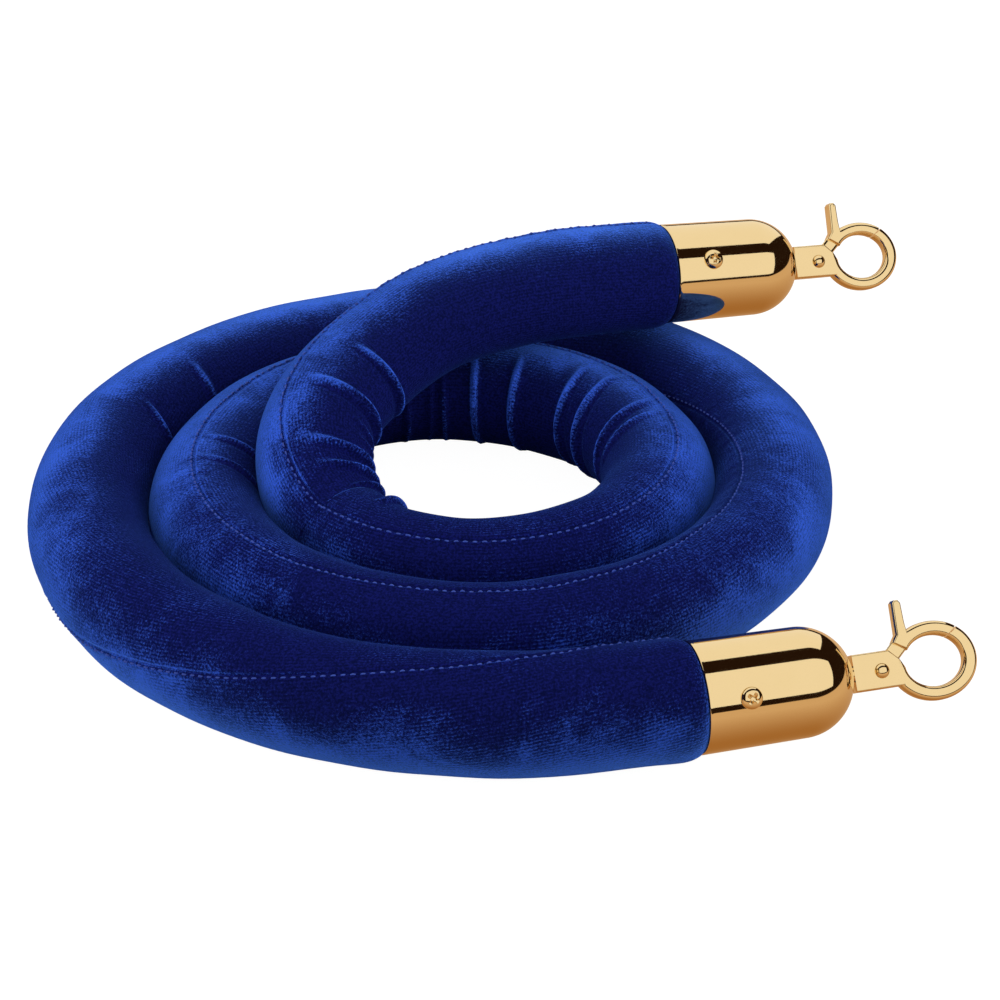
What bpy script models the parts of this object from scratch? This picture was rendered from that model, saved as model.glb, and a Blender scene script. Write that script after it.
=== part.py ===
"""A velvet barrier rope, lying in loose flat turns on the ground, with a swivelling snap hook at each end.

A padded core runs inside a velvet sleeve. Each end of the rope is held in a domed metal cap by two screws that
bite into a wooden plug. A hook's round stem passes through the dome and turns in it, and a sprung gate closes
the hook's ring.

World frame: metres, +Z up, the ground at Z = 0. Each end of the rope has a frame of its own: X out of the cap
along its axis, with the cap's mouth at X = 0.
"""

import math

import bmesh
import bpy
import numpy as np
from mathutils import Matrix, Vector

MM = 0.001
GAP = 0.3 * MM
MERGE_DISTANCE = 0.01 * MM
FLAT_ANGLE = math.radians(0.2)

# Rope: a round velvet sleeve over a padded core
ROPE_RADIUS = 19.0 * MM
ROPE_SIDES = 12
ROPE_RINGS = 68
SLEEVE_WALL = 1.2 * MM
NECK_RADIUS = 15.8 * MM
SHOULDER_LENGTH = 7.0 * MM
SHOULDER_RINGS = 3
SLEEVE_IN_CAP = 27.0 * MM

# Route: a straight lead out of cap A, flat turns that close inwards, and a last stretch that climbs over them
REST_HEIGHT = ROPE_RADIUS * math.cos(math.pi / ROPE_SIDES)
COIL_CENTRE = Vector((-8.0, 10.6, 0.0)) * MM
COIL_RADIUS = 135.4 * MM
COIL_PITCH = 39.8 * MM
COIL_START_DEG = 20
COIL_END_DEG = 770
COIL_STEP_DEG = 25
LEAD_POINTS_MM = ((70.9, -127.8), (51.1, -132.7))
CLIMB_POINTS_MM = (
    (-49.5, -2.0, 33.5),
    (-35.0, 35.0, 46.0),
    (-4.0, 61.5, 56.0),
    (35.0, 76.5, 59.0),
    (69.9, 88.4, 57.0),
)

# End cap: a cup that narrows a little from its mouth to its dome
CAP_RADIUS = 17.5 * MM
DOME_RADIUS = 17.1 * MM
CAP_LENGTH = 50.7 * MM
CAP_WALL = 1.0 * MM
DOME_LENGTH = 17.0 * MM
DOME_STEPS = 7
CAP_SEGMENTS = 32

# Plug and cap screws
PLUG_RADIUS = 13.9 * MM
PLUG_START = 3.0 * MM
PLUG_END = 27.5 * MM
SCREW_POSITION = 13.2 * MM
SCREW_RADIUS = 1.7 * MM
SCREW_LENGTH = 10.0 * MM
SCREW_HEAD_RADIUS = 3.4 * MM
SCREW_HEAD_HEIGHT = 2.1 * MM
RECESS_LENGTH = 4.0 * MM
RECESS_WIDTH = 0.8 * MM
RECESS_DEPTH = 1.2 * MM
SCREW_SEGMENTS = 12

# Hook stem in the dome
STEM_RADIUS = 2.2 * MM
STEM_HEAD_RADIUS = 3.9 * MM
STEM_HEAD_HEIGHT = 2.2 * MM
WASHER_RADIUS = 4.9 * MM
WASHER_THICKNESS = 1.0 * MM
WASHER_POSITION = CAP_LENGTH - 3.2 * MM
STEM_SEGMENTS = 24

# Hook, in its own plane: X along the cap's axis from the dome's nose, Y up towards the thumb lever
PLATE_THICKNESS = 5.0 * MM
PLATE_BEVEL = 0.9 * MM
PLATE_START = 0.5 * MM
SHANK_HALF_HEIGHT = 5.8 * MM
SHANK_CORNER = Vector((12.6, 5.8)) * MM
SHANK_CHAMFER_END = Vector((15.9, 2.6)) * MM
RING_CENTRE = Vector((27.0, 0.6)) * MM
RING_OUTER = Vector((14.0, 12.3)) * MM
RING_INNER = Vector((9.6, 7.9)) * MM
RING_START_DEG = 211
RING_HOLE_START_DEG = 188
NOSE_INNER_DEG = 57
NOSE_OUTER_DEG = 50
ARC_STEP_DEG = 8

# Gate
GATE_GAP_DEG = 2.2
GATE_HEEL_DEG = 147
GATE_OUTER_END_DEG = 122
GATE_HEEL_CORNER = Vector((14.6, 7.6)) * MM
LEVER_OUTLINE_MM = ((19.3, 13.6), (18.8, 19.6), (17.9, 20.6), (16.4, 20.6), (15.6, 19.8), (15.9, 10.0))
HUB_RADIUS = 3.3 * MM
HUB_THICKNESS = 1.3 * MM
HUB_OFFSET = -0.55 * MM
NECK_HALF_WIDTH = 1.9 * MM
NECK_END = Vector((18.2, 8.0)) * MM

# Slot, rivet and spring
SLOT_WIDTH = 2.8 * MM
SLOT_START = 4.5 * MM
SLOT_FLOOR = -4.3 * MM
SLOT_END = 17.2 * MM
RIVET_CENTRE = Vector((9.4, -0.3)) * MM
RIVET_RADIUS = 1.2 * MM
RIVET_HEAD_RADIUS = 2.35 * MM
RIVET_HEAD_HEIGHT = 1.2 * MM
RIVET_SEGMENTS = 16
SPRING_WIRE_RADIUS = 0.18 * MM
SPRING_COIL_RADIUS = 1.85 * MM
SPRING_PITCH = 0.42 * MM
SPRING_TURNS = 1.12
SPRING_START = math.pi
SPRING_STEPS = 16
SPRING_OFFSET = 0.5 * MM
SPRING_LEG = 2.6 * MM

# How far each end is rolled about its cap's axis: the front screw, and the hook's flat face, upwards from level
SCREW_ROLL_DEG = {"a": 26.0, "b": 38.0}
HOOK_ROLL_DEG = {"a": 37.0, "b": 33.0}

MATERIALS = {
    "blue_velvet": ((0.012, 0.022, 0.16), 0.9, 0.0),
    "core_fibre": ((0.72, 0.70, 0.64), 0.95, 0.0),
    "polished_gold": ((0.86, 0.60, 0.27), 0.12, 1.0),
    "plug_wood": ((0.55, 0.38, 0.22), 0.7, 0.0),
    "spring_steel": ((0.55, 0.55, 0.56), 0.3, 1.0),
}


def clear_scene():
    for item in list(bpy.data.objects):
        bpy.data.objects.remove(item, do_unlink=True)


def new_collection(name, hidden=False):
    collection = bpy.data.collections.new(name)
    collection.hide_render = hidden
    bpy.context.scene.collection.children.link(collection)
    return collection


def new_material(name):
    colour, roughness, metallic = MATERIALS[name]
    material = bpy.data.materials.new(name)
    material.use_nodes = True
    shader = material.node_tree.nodes["Principled BSDF"]
    shader.inputs["Base Color"].default_value = (*colour, 1.0)
    shader.inputs["Roughness"].default_value = roughness
    shader.inputs["Metallic"].default_value = metallic
    return material


def add_object(name, data, parent=None, material=None, collection=None):
    item = bpy.data.objects.new(name, data)
    (collection or PARTS).objects.link(item)
    item.parent = parent
    if material:
        data.materials.append(bpy.data.materials.get(material) or new_material(material))
    return item


def as_cutter(item):
    item.hide_render = True
    item.display_type = "WIRE"
    return item


def add_cutter(name, data, parent=None):
    return as_cutter(add_object(name, data, parent, collection=CUTTERS))


def add_empty(name, parent=None):
    item = bpy.data.objects.new(name, None)
    item.empty_display_size = 10 * MM
    PARTS.objects.link(item)
    item.parent = parent
    return item


def shade_smooth(item, angle_deg=35):
    item.data.shade_smooth()
    item.data.set_sharp_from_angle(angle=math.radians(angle_deg))


def boolean(item, other, operation="DIFFERENCE"):
    modifier = item.modifiers.new(other.name, "BOOLEAN")
    modifier.operation = operation
    modifier.object = other


# Round and flat shapes


def profile_mesh(name, profile, closed):
    """The outline of a turned shape, as (radius, height) points that run down its outer side."""
    mesh = bpy.data.meshes.new(name)
    vertices = [(radius, 0.0, height) for radius, height in profile]
    edges = [(i, i + 1) for i in range(len(profile) - 1)]
    if closed:
        edges.append((len(profile) - 1, 0))
    mesh.from_pydata(vertices, edges, [])
    return mesh


def add_screw_modifier(item, segments):
    screw = item.modifiers.new("turned", "SCREW")
    screw.angle = math.tau
    screw.steps = segments
    screw.render_steps = segments
    screw.use_merge_vertices = True
    screw.merge_threshold = MERGE_DISTANCE
    screw.use_smooth_shade = True


def turned(name, profile, segments, parent, material, closed=False, collection=None):
    """A turned solid about its local Z, which lies along the parent's X."""
    item = add_object(name, profile_mesh(name, profile, closed), parent, material, collection)
    item.rotation_euler = (0.0, math.pi / 2, 0.0)
    add_screw_modifier(item, segments)
    return item


def rod_mesh(name, radius, length, segments):
    mesh = bpy.data.meshes.new(name)
    shape = bmesh.new()
    bmesh.ops.create_cone(
        shape, cap_ends=True, segments=segments, radius1=radius, radius2=radius, depth=length
    )
    shape.to_mesh(mesh)
    shape.free()
    return mesh


def box_mesh(name, size):
    mesh = bpy.data.meshes.new(name)
    shape = bmesh.new()
    bmesh.ops.create_cube(shape, size=1.0)
    bmesh.ops.scale(shape, vec=size, verts=shape.verts)
    shape.to_mesh(mesh)
    shape.free()
    return mesh


def curve_to_mesh(curve_object):
    """The curve's solid as a mesh object in its place, its caps welded on and its flat faces whole."""
    graph = bpy.context.evaluated_depsgraph_get()
    mesh = bpy.data.meshes.new_from_object(curve_object.evaluated_get(graph))
    shape = bmesh.new()
    shape.from_mesh(mesh)
    bmesh.ops.remove_doubles(shape, verts=shape.verts, dist=MERGE_DISTANCE)
    bmesh.ops.dissolve_limit(
        shape, angle_limit=FLAT_ANGLE, verts=shape.verts, edges=shape.edges, delimit={"NORMAL"}
    )
    shape.to_mesh(mesh)
    shape.free()
    name = curve_object.name
    curve_object.name = name + "_curve"
    item = bpy.data.objects.new(name, mesh)
    curve_object.users_collection[0].objects.link(item)
    item.parent = curve_object.parent
    item.matrix_local = curve_object.matrix_local
    bpy.data.objects.remove(curve_object, do_unlink=True)
    return item


def flat_plate(name, outline, thickness, parent, material=None, collection=None):
    """A plate cut to a closed outline in the parent's XZ plane, centred on it."""
    curve = bpy.data.curves.new(name, "CURVE")
    curve.dimensions = "2D"
    curve.fill_mode = "BOTH"
    curve.extrude = thickness / 2
    spline = curve.splines.new("POLY")
    spline.points.add(len(outline) - 1)
    for point, (x, y) in zip(spline.points, outline):
        point.co = (x, y, 0.0, 1.0)
    spline.use_cyclic_u = True
    item = add_object(name, curve, parent, material, collection)
    item.rotation_euler = (math.pi / 2, 0.0, 0.0)
    return curve_to_mesh(item)


def oval_arc(centre, half_axes, start_deg, end_deg):
    """Points along an oval from one angle to another, about ARC_STEP_DEG apart."""
    steps = max(2, round(abs(end_deg - start_deg) / ARC_STEP_DEG))
    points = []
    for i in range(steps + 1):
        angle = math.radians(start_deg + (end_deg - start_deg) * i / steps)
        points.append(centre + Vector((half_axes.x * math.cos(angle), half_axes.y * math.sin(angle))))
    return points


# Rope


def route_points():
    """The points that the rope's centre line passes through, from cap A's mouth to cap B's."""
    points = [COIL_CENTRE + Vector((x * MM, y * MM, REST_HEIGHT)) for x, y in LEAD_POINTS_MM]
    for degrees in range(COIL_START_DEG, COIL_END_DEG + 1, COIL_STEP_DEG):
        angle = math.radians(degrees)
        radius = COIL_RADIUS - COIL_PITCH * degrees / 360
        offset = Vector((-radius * math.sin(angle), -radius * math.cos(angle), REST_HEIGHT))
        points.append(COIL_CENTRE + offset)
    points.extend(COIL_CENTRE + Vector(point) * MM for point in CLIMB_POINTS_MM)
    return np.array(points)


class SmoothLine:
    """A natural cubic spline through points, by distance along the straight lines between them.

    The rope lies on the ground, so the line never dips below the height of a rope at rest.
    """

    def __init__(self, points):
        self.points = points
        steps = np.linalg.norm(np.diff(points, axis=0), axis=1)
        self.knots = np.concatenate([[0.0], np.cumsum(steps)])
        self.length = self.knots[-1]
        count = len(points)
        system = np.eye(count)
        target = np.zeros((count, 3))
        slopes = np.diff(points, axis=0) / steps[:, None]
        for i in range(1, count - 1):
            system[i, i - 1 : i + 2] = (steps[i - 1], 2 * (steps[i - 1] + steps[i]), steps[i])
            target[i] = 6 * (slopes[i] - slopes[i - 1])
        self.bends = np.linalg.solve(system, target)

    def at(self, distance):
        i = int(np.clip(np.searchsorted(self.knots, distance, side="right") - 1, 0, len(self.points) - 2))
        step = self.knots[i + 1] - self.knots[i]
        after = distance - self.knots[i]
        before = self.knots[i + 1] - distance
        bend = (self.bends[i] * before**3 + self.bends[i + 1] * after**3) / (6 * step)
        start = (self.points[i] / step - self.bends[i] * step / 6) * before
        end = (self.points[i + 1] / step - self.bends[i + 1] * step / 6) * after
        place = Vector(bend + start + end)
        place.z = max(place.z, REST_HEIGHT)
        return place


def end_directions(line):
    """The way out of the rope at each end."""
    small = 0.5 * MM
    direction_a = (line.at(0.0) - line.at(small)).normalized()
    direction_b = (line.at(line.length) - line.at(line.length - small)).normalized()
    return direction_a, direction_b


def shoulder_radius(distance):
    """The rope's radius at a distance outside a cap's mouth: a round shoulder that the cap's mouth gathers in."""
    share = min(distance / SHOULDER_LENGTH, 1.0)
    return NECK_RADIUS + (ROPE_RADIUS - NECK_RADIUS) * math.sqrt(1 - (1 - share) ** 2)


def rope_rings(line, inset, start_in_cap, end_in_cap):
    """(centre, radius) of each ring of a tube along the rope, its surface this far inside the sleeve's."""
    direction_a, direction_b = end_directions(line)
    shoulder = [SHOULDER_LENGTH * i / SHOULDER_RINGS for i in range(SHOULDER_RINGS)]
    middle_length = line.length - 2 * SHOULDER_LENGTH
    rings = []
    for depth in start_in_cap:
        rings.append((line.at(0.0) + direction_a * depth, NECK_RADIUS - inset))
    for distance in shoulder:
        rings.append((line.at(distance), shoulder_radius(distance) - inset))
    for i in range(ROPE_RINGS + 1):
        rings.append((line.at(SHOULDER_LENGTH + middle_length * i / ROPE_RINGS), ROPE_RADIUS - inset))
    for distance in reversed(shoulder):
        rings.append((line.at(line.length - distance), shoulder_radius(distance) - inset))
    for depth in end_in_cap:
        rings.append((line.at(line.length) + direction_b * depth, NECK_RADIUS - inset))
    return rings


def rope_tube(name, rings, filled, material):
    """A tube through the rings, with a flat side underneath."""
    curve = bpy.data.curves.new(name, "CURVE")
    curve.dimensions = "3D"
    curve.twist_mode = "Z_UP"
    curve.bevel_depth = 1.0
    curve.bevel_resolution = ROPE_SIDES // 2 - 2
    curve.use_fill_caps = filled
    spline = curve.splines.new("POLY")
    spline.points.add(len(rings) - 1)
    for point, (centre, radius) in zip(spline.points, rings):
        point.co = (*centre, 1.0)
        point.radius = radius
        point.tilt = math.pi / ROPE_SIDES
    return curve_to_mesh(add_object(name, curve, material=material))


def build_rope(line):
    in_cap = (SLEEVE_IN_CAP, SCREW_POSITION, 1.0 * MM)
    sleeve = rope_tube(
        "velvet_sleeve", rope_rings(line, 0.0, in_cap, in_cap[::-1]), False, "blue_velvet"
    )
    solidify = sleeve.modifiers.new("wall", "SOLIDIFY")
    solidify.thickness = SLEEVE_WALL
    solidify.offset = -1.0
    shade_smooth(sleeve, 50)
    core_in_cap = (PLUG_START - GAP, 1.0 * MM)
    core_inset = SLEEVE_WALL + 1.5 * GAP
    core_rings = rope_rings(line, core_inset, core_in_cap, core_in_cap[::-1])
    core = rope_tube("rope_core", core_rings, True, "core_fibre")
    shade_smooth(core, 50)
    return sleeve


# Rope ends


def end_frame(side, mouth, direction):
    """An empty at a cap's mouth: X out along the cap, rolled so that -Y faces the front screw."""
    frame = add_empty(f"end_{side}_frame")
    heading = math.atan2(direction.y, direction.x)
    climb = math.asin(direction.z)
    frame.location = mouth
    frame.rotation_euler = (math.radians(-SCREW_ROLL_DEG[side]), -climb, heading)
    return frame


def cap_radius_at(position):
    share = position / (CAP_LENGTH - DOME_LENGTH)
    return CAP_RADIUS + (DOME_RADIUS - CAP_RADIUS) * share


def cap_profile():
    """The cap's wall: down the outside of the dome to the mouth, and back up the inside."""
    outer = []
    inner = []
    hole_radius = STEM_RADIUS + GAP
    for radius, height, points in (
        (DOME_RADIUS, DOME_LENGTH, outer),
        (DOME_RADIUS - CAP_WALL, DOME_LENGTH - CAP_WALL, inner),
    ):
        first = math.acos(hole_radius / radius)
        for i in range(DOME_STEPS + 1):
            angle = first * (1 - i / DOME_STEPS)
            points.append((radius * math.cos(angle), CAP_LENGTH - DOME_LENGTH + height * math.sin(angle)))
    lip = CAP_WALL / 3
    mouth = [(CAP_RADIUS, lip), (CAP_RADIUS - lip, 0.0), (CAP_RADIUS - 2 * lip, 0.0), (CAP_RADIUS - CAP_WALL, lip)]
    return outer + mouth + inner[::-1]


def build_cap(side, frame):
    cap = turned(f"end_cap_{side}", cap_profile(), CAP_SEGMENTS, frame, "polished_gold", closed=True)
    plug_length = PLUG_END - PLUG_START
    plug = add_object(
        f"end_plug_{side}",
        rod_mesh(f"end_plug_{side}", PLUG_RADIUS, plug_length, 2 * ROPE_SIDES),
        frame,
        "plug_wood",
    )
    plug.rotation_euler = (0.0, math.pi / 2, 0.0)
    plug.location = (PLUG_START + plug_length / 2, 0.0, 0.0)
    return cap, plug


def screw_profile():
    """A pan head over a straight shank with a short point, from the top of the head down."""
    top = SCREW_HEAD_HEIGHT
    round_start = 0.45 * SCREW_HEAD_RADIUS
    profile = [(0.0, top), (round_start, top)]
    for i in range(1, 4):
        angle = math.radians(90 - 30 * i)
        radius = round_start + (SCREW_HEAD_RADIUS - round_start) * math.cos(angle)
        profile.append((radius, top * (0.35 + 0.65 * math.sin(angle))))
    profile.append((SCREW_HEAD_RADIUS, 0.0))
    profile.append((SCREW_RADIUS, 0.0))
    profile.append((SCREW_RADIUS, -SCREW_LENGTH + 1.5 * SCREW_RADIUS))
    profile.append((0.0, -SCREW_LENGTH))
    return profile


def build_screws(side, frame, drilled):
    """Two screws on opposite sides of the cap, and their holes through everything they pass."""
    for place, turn in (("front", math.pi / 2), ("back", -math.pi / 2)):
        name = f"cap_screw_{side}_{place}"
        screw = add_object(name, profile_mesh(name, screw_profile(), False), frame, "polished_gold")
        add_screw_modifier(screw, SCREW_SEGMENTS)
        outward = Matrix.Rotation(turn, 4, "X")
        height = cap_radius_at(SCREW_POSITION) + GAP / 2
        seat = Vector((SCREW_POSITION, 0.0, 0.0)) + outward @ Vector((0.0, 0.0, height))
        screw.matrix_local = Matrix.Translation(seat) @ outward
        for i, size in enumerate(((RECESS_LENGTH, RECESS_WIDTH), (RECESS_WIDTH, RECESS_LENGTH))):
            slot = add_cutter(f"{name}_slot_{i}", box_mesh("slot", (*size, 2 * RECESS_DEPTH)), screw)
            slot.location = (0.0, 0.0, SCREW_HEAD_HEIGHT)
            boolean(screw, slot)
        hole_length = SCREW_LENGTH + 2 * GAP
        hole = add_cutter(
            f"{name}_hole", rod_mesh("hole", SCREW_RADIUS + GAP, 2 * hole_length, SCREW_SEGMENTS), screw
        )
        hole.location = (0.0, 0.0, -SCREW_LENGTH + hole_length)
        for item in drilled:
            boolean(item, hole)


# Hooks


def hook_outline():
    """The hook body's outline: along the shank's underside, out round the ring to its nose and back inside."""
    outline = [Vector((PLATE_START, -SHANK_HALF_HEIGHT))]
    outline += oval_arc(RING_CENTRE, RING_OUTER, RING_START_DEG, 360 + NOSE_OUTER_DEG)
    outline += oval_arc(RING_CENTRE, RING_INNER, 360 + NOSE_INNER_DEG, RING_HOLE_START_DEG)
    outline += [SHANK_CHAMFER_END, SHANK_CORNER, Vector((PLATE_START, SHANK_HALF_HEIGHT))]
    return outline


def gate_outline():
    """The gate's outline: in along the ring's hole from the nose, up the thumb lever and back along the outside."""
    outline = oval_arc(RING_CENTRE, RING_INNER, NOSE_INNER_DEG + GATE_GAP_DEG, GATE_HEEL_DEG)
    outline += [GATE_HEEL_CORNER]
    outline += [Vector(point) * MM for point in reversed(LEVER_OUTLINE_MM)]
    outline += oval_arc(RING_CENTRE, RING_OUTER, GATE_OUTER_END_DEG, NOSE_OUTER_DEG + GATE_GAP_DEG)
    return outline


def round_edges(item, width):
    weld = item.modifiers.new("weld", "WELD")
    weld.merge_threshold = MERGE_DISTANCE
    bevel = item.modifiers.new("rounded", "BEVEL")
    bevel.width = width
    bevel.segments = 2
    bevel.limit_method = "ANGLE"
    bevel.angle_limit = math.radians(50)


def neck_outline():
    """A bar from the rivet to the gate's heel."""
    along = (NECK_END - RIVET_CENTRE).normalized()
    across = Vector((-along.y, along.x)) * NECK_HALF_WIDTH
    return [RIVET_CENTRE - across, NECK_END - across, NECK_END + across, RIVET_CENTRE + across]


def in_plate(point, depth=0.0):
    """A place in the hook's frame, from its place in the hook's plane."""
    return (CAP_LENGTH + point.x, depth, point.y)


def cross_rod(name, radius, length, segments, parent, location):
    """A rod square to the hook's plane, to cut a bore or to make a hub."""
    rod = add_cutter(name, rod_mesh(name, radius, length, segments), parent)
    rod.rotation_euler = (math.pi / 2, 0.0, 0.0)
    rod.location = location
    return rod


def rivet_bore(name, parent, location):
    return cross_rod(name, RIVET_RADIUS + GAP, 2 * PLATE_THICKNESS, RIVET_SEGMENTS, parent, location)


def hook_stem(name, frame):
    """The round stem, from inside the shank through the dome's hole to its upset head."""
    stem_top = CAP_LENGTH + SLOT_START / 2
    head_top = WASHER_POSITION - GAP
    head_bottom = head_top - STEM_HEAD_HEIGHT
    profile = [
        (0.0, stem_top),
        (STEM_RADIUS, stem_top),
        (STEM_RADIUS, head_top),
        (STEM_HEAD_RADIUS, head_top),
        (STEM_HEAD_RADIUS, head_top - STEM_HEAD_HEIGHT / 2),
        (STEM_HEAD_RADIUS - STEM_HEAD_HEIGHT / 2, head_bottom),
        (0.0, head_bottom),
    ]
    return as_cutter(turned(name, profile, STEM_SEGMENTS, frame, None, collection=CUTTERS))


def build_hook(side, frame):
    """The hook body: a forked shank and a fixed part ring, cast in one with the stem."""
    name = f"hook_{side}"
    hook = flat_plate(name, hook_outline(), PLATE_THICKNESS, frame, "polished_gold")
    hook.location = (CAP_LENGTH, 0.0, 0.0)
    round_edges(hook, PLATE_BEVEL)
    boolean(hook, hook_stem(f"{name}_stem", frame), "UNION")
    slot_size = (SLOT_END - SLOT_START, SLOT_WIDTH, 2 * SHANK_HALF_HEIGHT)
    slot_centre = Vector(((SLOT_START + SLOT_END) / 2, SLOT_FLOOR + SHANK_HALF_HEIGHT))
    slot = add_cutter(f"{name}_slot", box_mesh("slot", slot_size), frame)
    slot.location = in_plate(slot_centre)
    boolean(hook, slot)
    boolean(hook, rivet_bore(f"{name}_bore", frame, in_plate(RIVET_CENTRE)))
    shade_smooth(hook)


def build_washer(side, frame):
    top = WASHER_POSITION + WASHER_THICKNESS
    profile = [
        (STEM_RADIUS + GAP, top),
        (WASHER_RADIUS, top),
        (WASHER_RADIUS, WASHER_POSITION),
        (STEM_RADIUS + GAP, WASHER_POSITION),
    ]
    turned(f"stem_washer_{side}", profile, STEM_SEGMENTS, frame, "spring_steel", closed=True)


def build_gate(side, pivot):
    """The gate, as an arm and thumb lever at the ring's full thickness on a thin hub that turns in the slot."""
    name = f"gate_{side}"
    gate = flat_plate(name, gate_outline(), PLATE_THICKNESS, pivot, "polished_gold")
    gate.location = (-RIVET_CENTRE.x, 0.0, -RIVET_CENTRE.y)
    round_edges(gate, PLATE_BEVEL)
    neck = flat_plate(f"{name}_neck", neck_outline(), HUB_THICKNESS, pivot, collection=CUTTERS)
    neck.location = (-RIVET_CENTRE.x, HUB_OFFSET, -RIVET_CENTRE.y)
    hub_place = (0.0, HUB_OFFSET, 0.0)
    hub = cross_rod(f"{name}_hub", HUB_RADIUS, HUB_THICKNESS, STEM_SEGMENTS, pivot, hub_place)
    boolean(gate, as_cutter(neck), "UNION")
    boolean(gate, hub, "UNION")
    boolean(gate, rivet_bore(f"{name}_bore", pivot, (0.0, 0.0, 0.0)))
    shade_smooth(gate)


def rivet_profile():
    """A pin with a domed head at each end, from the top down."""
    half = PLATE_THICKNESS / 2 + GAP
    dome = []
    for i in range(4):
        angle = math.radians(90 - 30 * i)
        dome.append((RIVET_HEAD_RADIUS * math.cos(angle), half + RIVET_HEAD_HEIGHT * math.sin(angle)))
    dome[0] = (0.0, dome[0][1])
    shank = [(RIVET_RADIUS, half), (RIVET_RADIUS, -half)]
    return dome + shank + [(radius, -height) for radius, height in reversed(dome)]


def build_rivet(side, pivot):
    name = f"gate_rivet_{side}"
    rivet = add_object(name, profile_mesh(name, rivet_profile(), False), pivot, "polished_gold")
    rivet.rotation_euler = (math.pi / 2, 0.0, 0.0)
    add_screw_modifier(rivet, RIVET_SEGMENTS)


def build_spring(side, pivot):
    """A torsion spring round the rivet: one leg lies in the shank's slot, the other along the gate's neck."""
    steps = round(SPRING_STEPS * SPRING_TURNS)
    coil = []
    for i in range(steps + 1):
        turns = SPRING_TURNS * i / steps
        angle = SPRING_START + turns * math.tau
        depth = SPRING_OFFSET + SPRING_PITCH * turns
        coil.append(Vector((SPRING_COIL_RADIUS * math.cos(angle), depth, SPRING_COIL_RADIUS * math.sin(angle))))
    first_leg = coil[0] + (coil[0] - coil[1]).normalized() * SPRING_LEG
    last_leg = coil[-1] + (coil[-1] - coil[-2]).normalized() * SPRING_LEG
    points = [first_leg, *coil, last_leg]
    name = f"gate_spring_{side}"
    curve = bpy.data.curves.new(name, "CURVE")
    curve.dimensions = "3D"
    curve.bevel_depth = SPRING_WIRE_RADIUS
    curve.bevel_resolution = 1
    curve.use_fill_caps = True
    spline = curve.splines.new("POLY")
    spline.points.add(len(points) - 1)
    for point, place in zip(spline.points, points):
        point.co = (*place, 1.0)
    shade_smooth(curve_to_mesh(add_object(name, curve, pivot, "spring_steel")))


def build_end(side, mouth, direction, sleeve):
    frame = end_frame(side, mouth, direction)
    cap, plug = build_cap(side, frame)
    build_screws(side, frame, (cap, plug, sleeve))
    swivel = add_empty(f"swivel_{side}_axis", frame)
    swivel.rotation_euler = (math.radians(SCREW_ROLL_DEG[side] - HOOK_ROLL_DEG[side]), 0.0, 0.0)
    build_washer(side, swivel)
    build_hook(side, swivel)
    pivot = add_empty(f"gate_{side}_axis", swivel)
    pivot.location = in_plate(RIVET_CENTRE)
    build_rivet(side, pivot)
    build_gate(side, pivot)
    build_spring(side, pivot)


clear_scene()
PARTS = new_collection("velvet_barrier_rope")
CUTTERS = new_collection("cutters", hidden=True)
rope_line = SmoothLine(route_points())
direction_a, direction_b = end_directions(rope_line)
velvet_sleeve = build_rope(rope_line)
build_end("a", rope_line.at(0.0), direction_a, velvet_sleeve)
build_end("b", rope_line.at(rope_line.length), direction_b, velvet_sleeve)
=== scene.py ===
"""The looks of a velvet barrier rope: a blue velvet sleeve in loose turns, with gold caps and snap hooks.

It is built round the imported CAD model: metres, +Z up, the floor at Z = 0. The rope's route is the CAD
model's own.
"""

import math

import bmesh
import bpy
import numpy as np
from mathutils import Matrix, Vector


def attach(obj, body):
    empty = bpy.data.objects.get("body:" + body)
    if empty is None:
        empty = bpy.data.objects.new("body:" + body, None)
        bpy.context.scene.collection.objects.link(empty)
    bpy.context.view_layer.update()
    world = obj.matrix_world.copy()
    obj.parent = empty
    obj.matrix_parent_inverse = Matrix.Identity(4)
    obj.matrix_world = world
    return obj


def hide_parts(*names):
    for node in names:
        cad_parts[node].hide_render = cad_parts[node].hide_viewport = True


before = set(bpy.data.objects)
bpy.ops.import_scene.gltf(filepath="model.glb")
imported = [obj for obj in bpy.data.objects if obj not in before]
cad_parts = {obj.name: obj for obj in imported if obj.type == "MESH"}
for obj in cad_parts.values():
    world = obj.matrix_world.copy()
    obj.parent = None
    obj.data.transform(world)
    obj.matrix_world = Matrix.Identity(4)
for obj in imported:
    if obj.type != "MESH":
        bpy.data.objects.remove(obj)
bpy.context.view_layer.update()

MM = 0.001

# Camera
CAMERA_PLACE = (0.0046, -0.9414, 0.5537)
CAMERA_TILT = math.radians(60.493)
CAMERA_LENS = 116.7
SENSOR_WIDTH = 36.0

# Rope's size and route, as in the CAD model; it lies on a flat 1/12 turn wide to each side
ROPE_RADIUS = 19.0 * MM
REST_HEIGHT = ROPE_RADIUS * math.cos(math.pi / 12)
COIL_CENTRE = np.array((-8.0, 10.6, 0.0)) * MM
COIL_RADIUS = 135.4 * MM
COIL_PITCH = 39.8 * MM
COIL_START_DEG = 20
COIL_END_DEG = 770
COIL_STEP_DEG = 25
LEAD_POINTS_MM = ((70.9, -127.8), (51.1, -132.7))
CLIMB_POINTS_MM = (
    (-49.5, -2.0, 33.5),
    (-35.0, 35.0, 46.0),
    (-4.0, 61.5, 56.0),
    (35.0, 76.5, 59.0),
    (69.9, 88.4, 57.0),
)

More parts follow.
